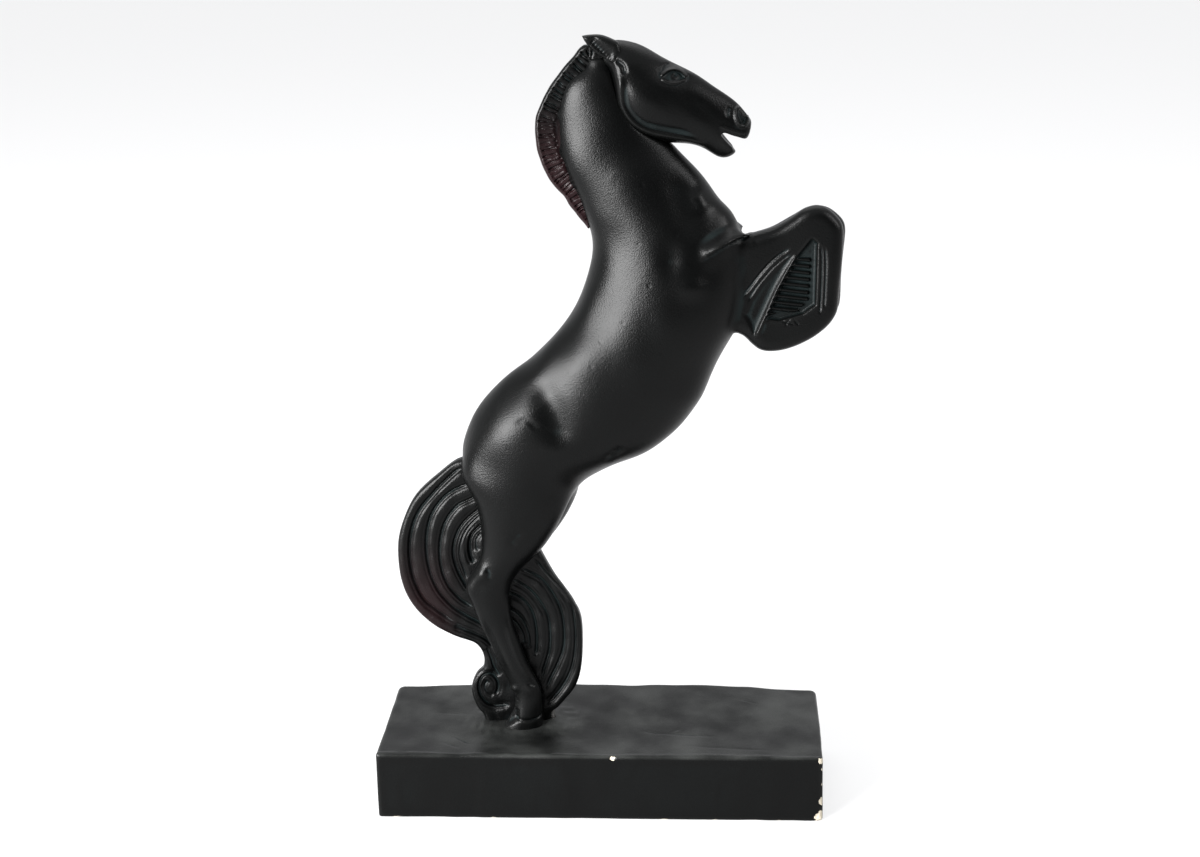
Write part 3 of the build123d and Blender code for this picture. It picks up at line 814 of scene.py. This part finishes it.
def make_mane():
    grid = Grid((-31, -5.5, 302), (4, 5.5, 394), 0.3 * COARSE)
    x, z = side_of(grid)
    blade = inside(np.vstack([smooth_path(MANE_CREST, 6), MANE_ROOT]), x, z)
    field = smooth_max(blade[:, None, :] - 0.3, np.abs(grid.y) - 3.4, 2.4)
    crest = smooth_path(MANE_CREST, 6)
    near, share, _ = along(crest, x, z)
    length = np.hypot(*np.diff(crest, axis=0).T).sum()
    step = share * length / 2.3
    count = np.floor(step)
    offset = 0.25 * np.sin(count * 2.4) + 0.5
    line = np.exp(-(((step - count - offset) * 2.3) / 0.45) ** 2)
    strength = 0.75 + 0.35 * np.sin(count * 1.7 + 1) + 0.2 * np.sin(near * 1.3 + count)
    start = 0.7 + 0.8 * (0.5 + 0.5 * np.sin(count * 3.1))
    reach = ramp(near, start, start + 1.0) * ramp(9.6 + 0.8 * np.sin(count * 1.3) - near, 0, 1.2)
    relief = 1.1 * line * strength * reach
    relief += 0.9 * ramp(near, 8.0, 10.5)
    relief -= 0.35 * np.exp(-((near - 1.0) / 1.2) ** 2)
    facing = ramp(np.abs(grid.y), 0.8, 2.4)
    field = field + relief[:, None, :] * facing
    field = field + 0.08 * wander(grid.x, grid.y, grid.z, 8, 31)
    field = np.maximum(field, -(resample(body, BODY, grid) + 0.6))
    field = np.maximum(field, -(node_field(("head",), grid) + 0.3))

    def tint(points):
        return ramp(372 - points[:, 2], 0, 40)

    return piece("mane_casting", field, grid, ("mane",), black_marked,
                 marks=(("red", tint),))


def make_ear(side, name):
    grid = Grid((-5, -14, 381), (17, 14, 402), 0.25 * COARSE)
    x, z = side_of(grid)
    leaf = inside(smooth_path(EAR_OUTLINE, 5), x, z + (FAR_EAR_DROP if side > 0 else 0.0))
    field = smooth_max(leaf[:, None, :], np.abs(grid.y - side * 6.6) - 3.3, 3.0)
    hollow = ((-1.0, 398.6), (2.2, 395.6), (6.5, 391.6), (10.5, 388.4))
    relief = groove(hollow, x, z, 1.9, 1.5, 0.2)
    near, share, _ = along(smooth_path(hollow), x, z)
    relief -= 0.15 * (0.5 + 0.5 * np.cos(share * 2 * math.pi * 9)) * ramp(2.0 - near, 0, 1)
    facing = ramp(side * grid.y, 5.5, 8.0)
    field = field + relief[:, None, :] * facing
    field = np.maximum(field, -(node_field(("head",), grid) + 0.3))
    return piece(name + "_casting", field, grid, (name,), black_marked)


TAIL = Grid((-110, -6, 31), (-6, 6, 190), 0.45 * COARSE)


def tail_field():
    """A plate with strands cut in nested curves into both sides."""
    grid = TAIL
    x, z = side_of(grid)
    outline = inside(TAIL_OUTLINE, x, z) - 0.8
    depth = 0.55 * ramp(-outline, 3.5, 7.0)
    for path, deep, wide in TAIL_GROOVES:
        near, share, _ = along(smooth_path(path, 5), x, z)
        ends = ramp(share, 0, 0.08) * ramp(1 - share, 0, 0.08)
        depth += ends * (deep * np.exp(-(near / (0.72 * wide)) ** 2)
                         + 0.34 * deep * np.exp(-(near / (2.6 * wide)) ** 2))
        depth += ends * 0.30 * np.exp(-((near - 2.2 * wide) / 0.5) ** 2)
    depth += 0.13 * wander(x, 0 * x, z, 11, 41)
    half = 4.45 - np.clip(depth, 0, 3.0)
    plate = smooth_max(outline[:, None, :], np.abs(grid.y) - half[:, None, :], 3.4)
    return np.maximum(plate, 33.5 - grid.z)


def make_tail(field):
    grid = TAIL
    field = bores(field, grid, ("tail_root_dowel", "tail_foot_pins"))

    def tint(points):
        return 0.6 * ramp(-70 - points[:, 0], 0, 20) * ramp(150 - points[:, 2], 0, 50)

    return piece("tail_casting", field, grid, ("tail",), black_marked,
                 marks=(("red", tint),))


def make_plinth(strands):
    low, high = (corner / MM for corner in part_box("plinth"))
    grid = Grid((low.x - 2, low.y - 2, -2), (high.x + 2, high.y + 2, high.z + 6), 0.85 * COARSE)
    wave = 0.25 * wander(grid.x, grid.y, grid.z, 75, 51) + 0.13 * wander(grid.x, grid.y, grid.z, 22, 52)
    inward = 0.05 + np.clip(wave, -0.05, 0.5)
    back = ramp(grid.y, -25, high.y)
    bow = 1 - 0.9 * ramp(grid.x, 60, high.x) - 0.6 * ramp(-grid.x, 70, high.x)
    lip = (0.4 * np.exp(-((grid.y - low.y - 1.7) / 1.2) ** 2)
           * (1 + 0.5 * wander(grid.x, 0 * grid.y, 0 * grid.z, 14, 56)))
    top = PLINTH_TOP + 0.2 + 3.4 * back * bow - wave + lip
    radius = 1.5 + 2.4 * back
    qx = np.abs(grid.x) - high.x + inward + radius
    qy = np.abs(grid.y) - high.y + inward + radius
    sides = np.sqrt(np.maximum(qx, 0) ** 2 + np.maximum(qy, 0) ** 2) + np.minimum(np.maximum(qx, qy), 0)
    field = smooth_max(smooth_max(sides - radius, grid.z - top, 1.8 + 1.2 * back), -grid.z, 0.8)
    mound = np.sqrt(((grid.x + 42) / 34) ** 2 + (grid.y / 20) ** 2)
    rise = (2.4 * ramp(1.25 - mound, 0, 1.1)
            + 0.14 * ramp(1.2 - mound, 0, 0.5) * wander(grid.x, grid.y, grid.z, 7, 53))
    field = field - rise * ramp(grid.z, PLINTH_TOP - 14, PLINTH_TOP - 4)
    for start, end, deep in TOP_SCRATCHES:
        line = groove((start, end), grid.x[:, :, 0], grid.y[0, :, 0][None, :], 0.8, deep, 0.4)
        field = field + line[:, :, None] * ramp(grid.z, PLINTH_TOP - 5, PLINTH_TOP - 2)
    chip = chips(grid.x, grid.y, grid.z)
    field = field + 0.7 * chip
    field = np.maximum(field, -(resample(strands, TAIL, grid) + 0.6))
    field = np.maximum(field, -(resample(body, BODY, grid) + 0.9))
    field = bores(field, grid, ("right_hind_leg_rod", "left_hind_leg_rod", "pocket_plugs", "tail_foot_pins"))

    def raw_edge(points):
        px, py, pz = points.T
        edge = ramp(0.25 + 0.35 * wander(px, py, pz, 9, 54) - pz, 0, 0.6)
        flecks = 0.17 * ramp(pz, PLINTH_TOP - 1.5, PLINTH_TOP)
        return np.maximum(np.maximum(np.clip(chips(px, py, pz) * 2, 0, 1), edge), flecks)

    # The plinth's top face, where the dust lies and where the painted sheen lightens the top.
    def top_dust_and_sheen_mask(points):
        return ramp(points[:, 2], PLINTH_TOP - 1.5, PLINTH_TOP)

    return piece("plinth_casting", field, grid, ("plinth",), black_marked,
                 marks=(("chip", raw_edge), ("top_dust_and_sheen", top_dust_and_sheen_mask)))


TOP_SCRATCHES = (
    ((25, -14), (62, -19), 0.5), ((20, -12), (34, -16), 0.4), ((36, -15), (42, -9), 0.4), ((72, 26),
    (84, 20), 0.4), ((-80, -18), (-66, -30), 0.5), ((-84, -26), (-72, -34), 0.4), ((-92, 8),
    (-70, 4), 0.3), ((40, -30), (95, -34), 0.25),
)
CHIPS = (
    ((7.0, -42.7, 35.0), 1.0), ((115.3, -42.6, 33.5), 1.5), ((115.5, -42.6, 29.0), 1.3),
    ((115.5, -42.6, 21.0), 0.9), ((115.5, -42.6, 11.0), 1.4), ((115.0, -42.8, 3.0), 2.4),
)


def chips(x, y, z):
    """How much of the paint has gone from a point, from 0 to 1."""
    total = 0
    for (cx, cy, cz), radius in CHIPS:
        away = (np.sqrt((x - cx) ** 2 + (y - cy) ** 2 + (z - cz) ** 2)
                + 0.4 * radius * wander(x, y, z, 2.4, 55))
        total = np.maximum(total, ramp(radius * 1.6 - away, 0, radius))
    return total


# ---------------------------------------------------------------- studio

def area_light(name, place, target, size, power):
    light = bpy.data.lights.new(name, "AREA")
    light.shape = "RECTANGLE"
    light.size, light.size_y = size
    light.energy = power
    holder = bpy.data.objects.new(name, light)
    bpy.context.scene.collection.objects.link(holder)
    aim = Vector(target) - Vector(place)
    holder.matrix_world = Matrix.Translation(place) @ aim.to_track_quat("-Z", "Y").to_matrix().to_4x4()
    return holder


def studio():
    """Pale sweep that glows by its own emission, dimmer in front as painted shade, soft lights and the
    camera.
    """
    scene = bpy.context.scene
    floor = bpy.data.meshes.new("floor")
    reach = 6.0
    floor.from_pydata([(-reach, -reach, 0), (reach, -reach, 0), (reach, reach, 0), (-reach, reach, 0)], [],
                      [(0, 1, 2, 3)])
    sweep = bpy.data.objects.new("floor", floor)
    scene.collection.objects.link(sweep)
    material, tree, surface, place = new_material("floor_paper_glowing")
    # The floor glows by emission, more behind the statue than in front; the dimmer front is a painted shade
    # that keeps the statue's front faces dark in reflection.
    across = add_node(tree, "ShaderNodeSeparateXYZ", Vector=place).outputs["Y"]
    glow_behind = band(tree, across, -1.6, -0.2)
    paper = mix_colour(tree, glow_behind, (0.20, 0.20, 0.202, 1), (0.24, 0.24, 0.242, 1))
    tree.links.new(paper, surface.inputs["Base Color"])
    tree.links.new(mix_value(tree, glow_behind, 0.30, 0.62), surface.inputs["Emission Strength"])
    surface.inputs["Roughness"].default_value = 0.8
    surface.inputs["Emission Color"].default_value = (1, 1, 1, 1)
    floor.materials.append(material)

    middle = (0.0, 0.0, 0.2)
    area_light("key_softbox", (-1.4, -1.2, 0.65), middle, (1.25, 1.15), KEY_POWER)
    area_light("fill_softbox", (1.7, -0.5, 1.1), middle, (0.8, 1.0), FILL_POWER)
    area_light("top_softbox", (0.0, 0.9, 2.2), (0.0, 0.3, 0.0), (2.0, 1.6), TOP_POWER)

    world = bpy.data.worlds.new("studio")
    scene.world = world
    world.use_nodes = True
    tree = world.node_tree
    background = tree.nodes["Background"]
    direction = tree.nodes.new("ShaderNodeTexCoord").outputs["Generated"]
    parts = tree.nodes.new("ShaderNodeSeparateXYZ")
    tree.links.new(direction, parts.inputs[0])
    strength = mix_value(tree, band(tree, parts.outputs["Y"], -0.35, 0.45), WORLD_FRONT, WORLD_BACK)
    strength = mix_value(tree, band(tree, parts.outputs["Z"], 0.35, 0.8), strength, WORLD_DOME)
    tree.links.new(strength, background.inputs["Strength"])
    background.inputs["Color"].default_value = (0.97, 0.98, 1.0, 1)

    camera = bpy.data.cameras.new("camera")
    camera.lens = LENS
    camera.sensor_width = 36.0
    camera.clip_start = 0.05
    camera.clip_end = 50.0
    eye = bpy.data.objects.new("camera", camera)
    scene.collection.objects.link(eye)
    yaw, pitch, roll = (math.radians(v) for v in (CAMERA_YAW, CAMERA_PITCH, CAMERA_ROLL))
    forward = Vector((math.sin(yaw) * math.cos(pitch), math.cos(yaw) * math.cos(pitch), -math.sin(pitch)))
    level = Vector((math.cos(yaw), -math.sin(yaw), 0))
    upright = level.cross(forward)
    right = level * math.cos(roll) + upright * math.sin(roll)
    up = upright * math.cos(roll) - level * math.sin(roll)
    turn = Matrix((right, up, -forward)).transposed().to_4x4()
    eye.matrix_world = Matrix.Translation([v * MM for v in CAMERA_PLACE]) @ turn
    scene.camera = eye
    scene.view_settings.view_transform = "Standard"


LENS = 61.86
CAMERA_PLACE = (56.7, -1010.7, 505.5)
CAMERA_PITCH = 16.81
CAMERA_YAW = -3.15
CAMERA_ROLL = -0.89
KEY_POWER = 205.0
FILL_POWER = 26.0
TOP_POWER = 20.0
WORLD_BACK = 0.9
WORLD_FRONT = 0.03
WORLD_DOME = 1.1

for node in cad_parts.values():
    if not node.data.materials or node.data.materials[0] not in (steel, zinc, raw):
        node.data.materials.clear()
        node.data.materials.append(black)

make_trunk()
for side, word in ((-1, "right"), (1, "left")):
    make_hind_leg(side, word + "_hind_leg", 0.0 if side < 0 else LEFT_LEG_ADVANCE)
    make_foreleg(side, word + "_foreleg")
    make_ear(side, word + "_ear")
make_head()
make_mane()
strands = tail_field()
make_tail(strands)
make_plinth(strands)
studio()
